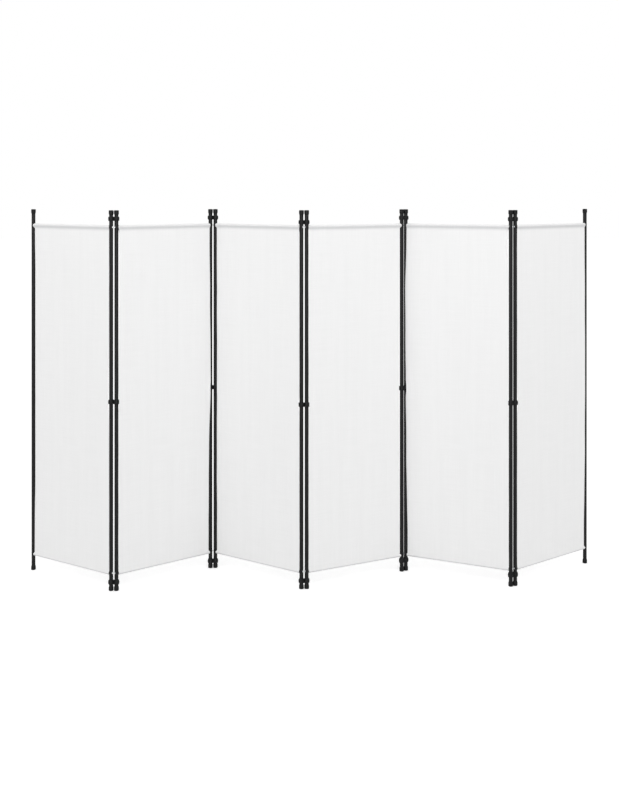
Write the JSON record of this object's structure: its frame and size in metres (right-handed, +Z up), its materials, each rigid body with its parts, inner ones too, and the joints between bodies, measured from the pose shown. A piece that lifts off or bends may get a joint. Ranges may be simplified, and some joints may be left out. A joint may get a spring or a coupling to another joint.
{
  "type": "accordion folding partition",
  "caption": "Free-standing zigzag room divider: cloth panels hang between round steel poles, and moulded ring clips join neighbouring panels so that it folds like an accordion.",
  "frame": {"origin": "on the floor, under the centre of the zigzag's bounding box as it stands in the picture", "axes": "+X along the screen from its left end to its right end seen from the front, +Y away from the front, +Z up"},
  "size_m": [2.8013, 0.4458, 1.8],
  "materials": {
    "black_steel": "satin black powder coat on round tube",
    "black_plastic": "moulded black plastic, slightly duller than the poles",
    "zinc_steel": "bright zinc plate on pan-head screws and nuts",
    "white_polyester": "plain-woven matt white polyester, slightly translucent"
  },
  "bodies": {
    "panel_1": {"panel_1_left_upper_pole": "black_steel", "panel_1_left_lower_pole": "black_steel", "panel_1_right_upper_pole": "black_steel", "panel_1_right_lower_pole": "black_steel", "panel_1_top_rail": "black_steel", "panel_1_bottom_rail": "black_steel", "panel_1_rail_fixings": "zinc_steel", "panel_1_pole_plugs": "black_plastic", "panel_1_fabric": "white_polyester"},
    "panel_2": {"panel_2_left_upper_pole": "black_steel", "panel_2_left_lower_pole": "black_steel", "panel_2_right_upper_pole": "black_steel", "panel_2_right_lower_pole": "black_steel", "panel_2_top_rail": "black_steel", "panel_2_bottom_rail": "black_steel", "panel_2_rail_fixings": "zinc_steel", "panel_2_pole_plugs": "black_plastic", "panel_2_fabric": "white_polyester"},
    "panel_3": {"panel_3_left_upper_pole": "black_steel", "panel_3_left_lower_pole": "black_steel", "panel_3_right_upper_pole": "black_steel", "panel_3_right_lower_pole": "black_steel", "panel_3_top_rail": "black_steel", "panel_3_bottom_rail": "black_steel", "panel_3_rail_fixings": "zinc_steel", "panel_3_pole_plugs": "black_plastic", "panel_3_fabric": "white_polyester"},
    "panel_4": {"panel_4_left_upper_pole": "black_steel", "panel_4_left_lower_pole": "black_steel", "panel_4_right_upper_pole": "black_steel", "panel_4_right_lower_pole": "black_steel", "panel_4_top_rail": "black_steel", "panel_4_bottom_rail": "black_steel", "panel_4_rail_fixings": "zinc_steel", "panel_4_pole_plugs": "black_plastic", "panel_4_fabric": "white_polyester"},
    "panel_5": {"panel_5_left_upper_pole": "black_steel", "panel_5_left_lower_pole": "black_steel", "panel_5_right_upper_pole": "black_steel", "panel_5_right_lower_pole": "black_steel", "panel_5_top_rail": "black_steel", "panel_5_bottom_rail": "black_steel", "panel_5_rail_fixings": "zinc_steel", "panel_5_pole_plugs": "black_plastic", "panel_5_fabric": "white_polyester"},
    "panel_6": {"panel_6_left_upper_pole": "black_steel", "panel_6_left_lower_pole": "black_steel", "panel_6_right_upper_pole": "black_steel", "panel_6_right_lower_pole": "black_steel", "panel_6_top_rail": "black_steel", "panel_6_bottom_rail": "black_steel", "panel_6_rail_fixings": "zinc_steel", "panel_6_pole_plugs": "black_plastic", "panel_6_fabric": "white_polyester"},
    "clips_1": {"hinge_clips_1": "black_plastic"},
    "clips_2": {"hinge_clips_2": "black_plastic"},
    "clips_3": {"hinge_clips_3": "black_plastic"},
    "clips_4": {"hinge_clips_4": "black_plastic"},
    "clips_5": {"hinge_clips_5": "black_plastic"}
  },
  "joints": [
    {"name": "pair_2_right_ring", "type": "hinge", "parent": "panel_3", "child": "clips_2", "pos_m": [-0.48284, 0.13813, 0.9], "axis": [0, 0, 1], "range_deg": [-76.7, 44.5]},
    {"name": "pair_2_left_ring", "type": "hinge", "parent": "clips_2", "child": "panel_2", "pos_m": [-0.5076, 0.13465, 0.9], "axis": [0, 0, 1], "range_deg": [-99.2, 57.5]},
    {"name": "pair_1_right_ring", "type": "hinge", "parent": "panel_2", "child": "clips_1", "pos_m": [-0.92428, -0.20883, 0.9], "axis": [0, 0, -1], "range_deg": [-115.1, 49.5]},
    {"name": "pair_1_left_ring", "type": "hinge", "parent": "clips_1", "child": "panel_1", "pos_m": [-0.94928, -0.20883, 0.9], "axis": [0, 0, -1], "range_deg": [-124.5, 53.5]},
    {"name": "pair_3_left_ring", "type": "hinge", "parent": "panel_3", "child": "clips_3", "pos_m": [-0.04876, -0.18307, 0.9], "axis": [0, 0, 1], "range_deg": [-68.4, 46.5]},
    {"name": "pair_3_right_ring", "type": "hinge", "parent": "clips_3", "child": "panel_4", "pos_m": [-0.0239, -0.18046, 0.9], "axis": [0, 0, 1], "range_deg": [-97.1, 66]},
    {"name": "pair_4_left_ring", "type": "hinge", "parent": "panel_4", "child": "clips_4", "pos_m": [0.4484, 0.08134, 0.9], "axis": [0, 0, -1], "range_deg": [-86, 92]},
    {"name": "pair_4_right_ring", "type": "hinge", "parent": "clips_4", "child": "panel_5", "pos_m": [0.4696, 0.09459, 0.9], "axis": [0, 0, -1], "range_deg": [-28.6, 30.5]},
    {"name": "pair_5_left_ring", "type": "hinge", "parent": "panel_5", "child": "clips_5", "pos_m": [0.95286, -0.14636, 0.9], "axis": [0, 0, 1], "range_deg": [-52.7, 37.5]},
    {"name": "pair_5_right_ring", "type": "hinge", "parent": "clips_5", "child": "panel_6", "pos_m": [0.97552, -0.1358, 0.9], "axis": [0, 0, 1], "range_deg": [-104, 74]}
  ],
  "couplings": [
    {"joint": "pair_2_left_ring", "follows": "pair_2_right_ring", "ratio": 1.2921},
    {"joint": "pair_1_left_ring", "follows": "pair_1_right_ring", "ratio": 1.0808},
    {"joint": "pair_3_right_ring", "follows": "pair_3_left_ring", "ratio": 1.4193},
    {"joint": "pair_4_right_ring", "follows": "pair_4_left_ring", "ratio": 0.33152},
    {"joint": "pair_5_right_ring", "follows": "pair_5_left_ring", "ratio": 1.9733}
  ]
}
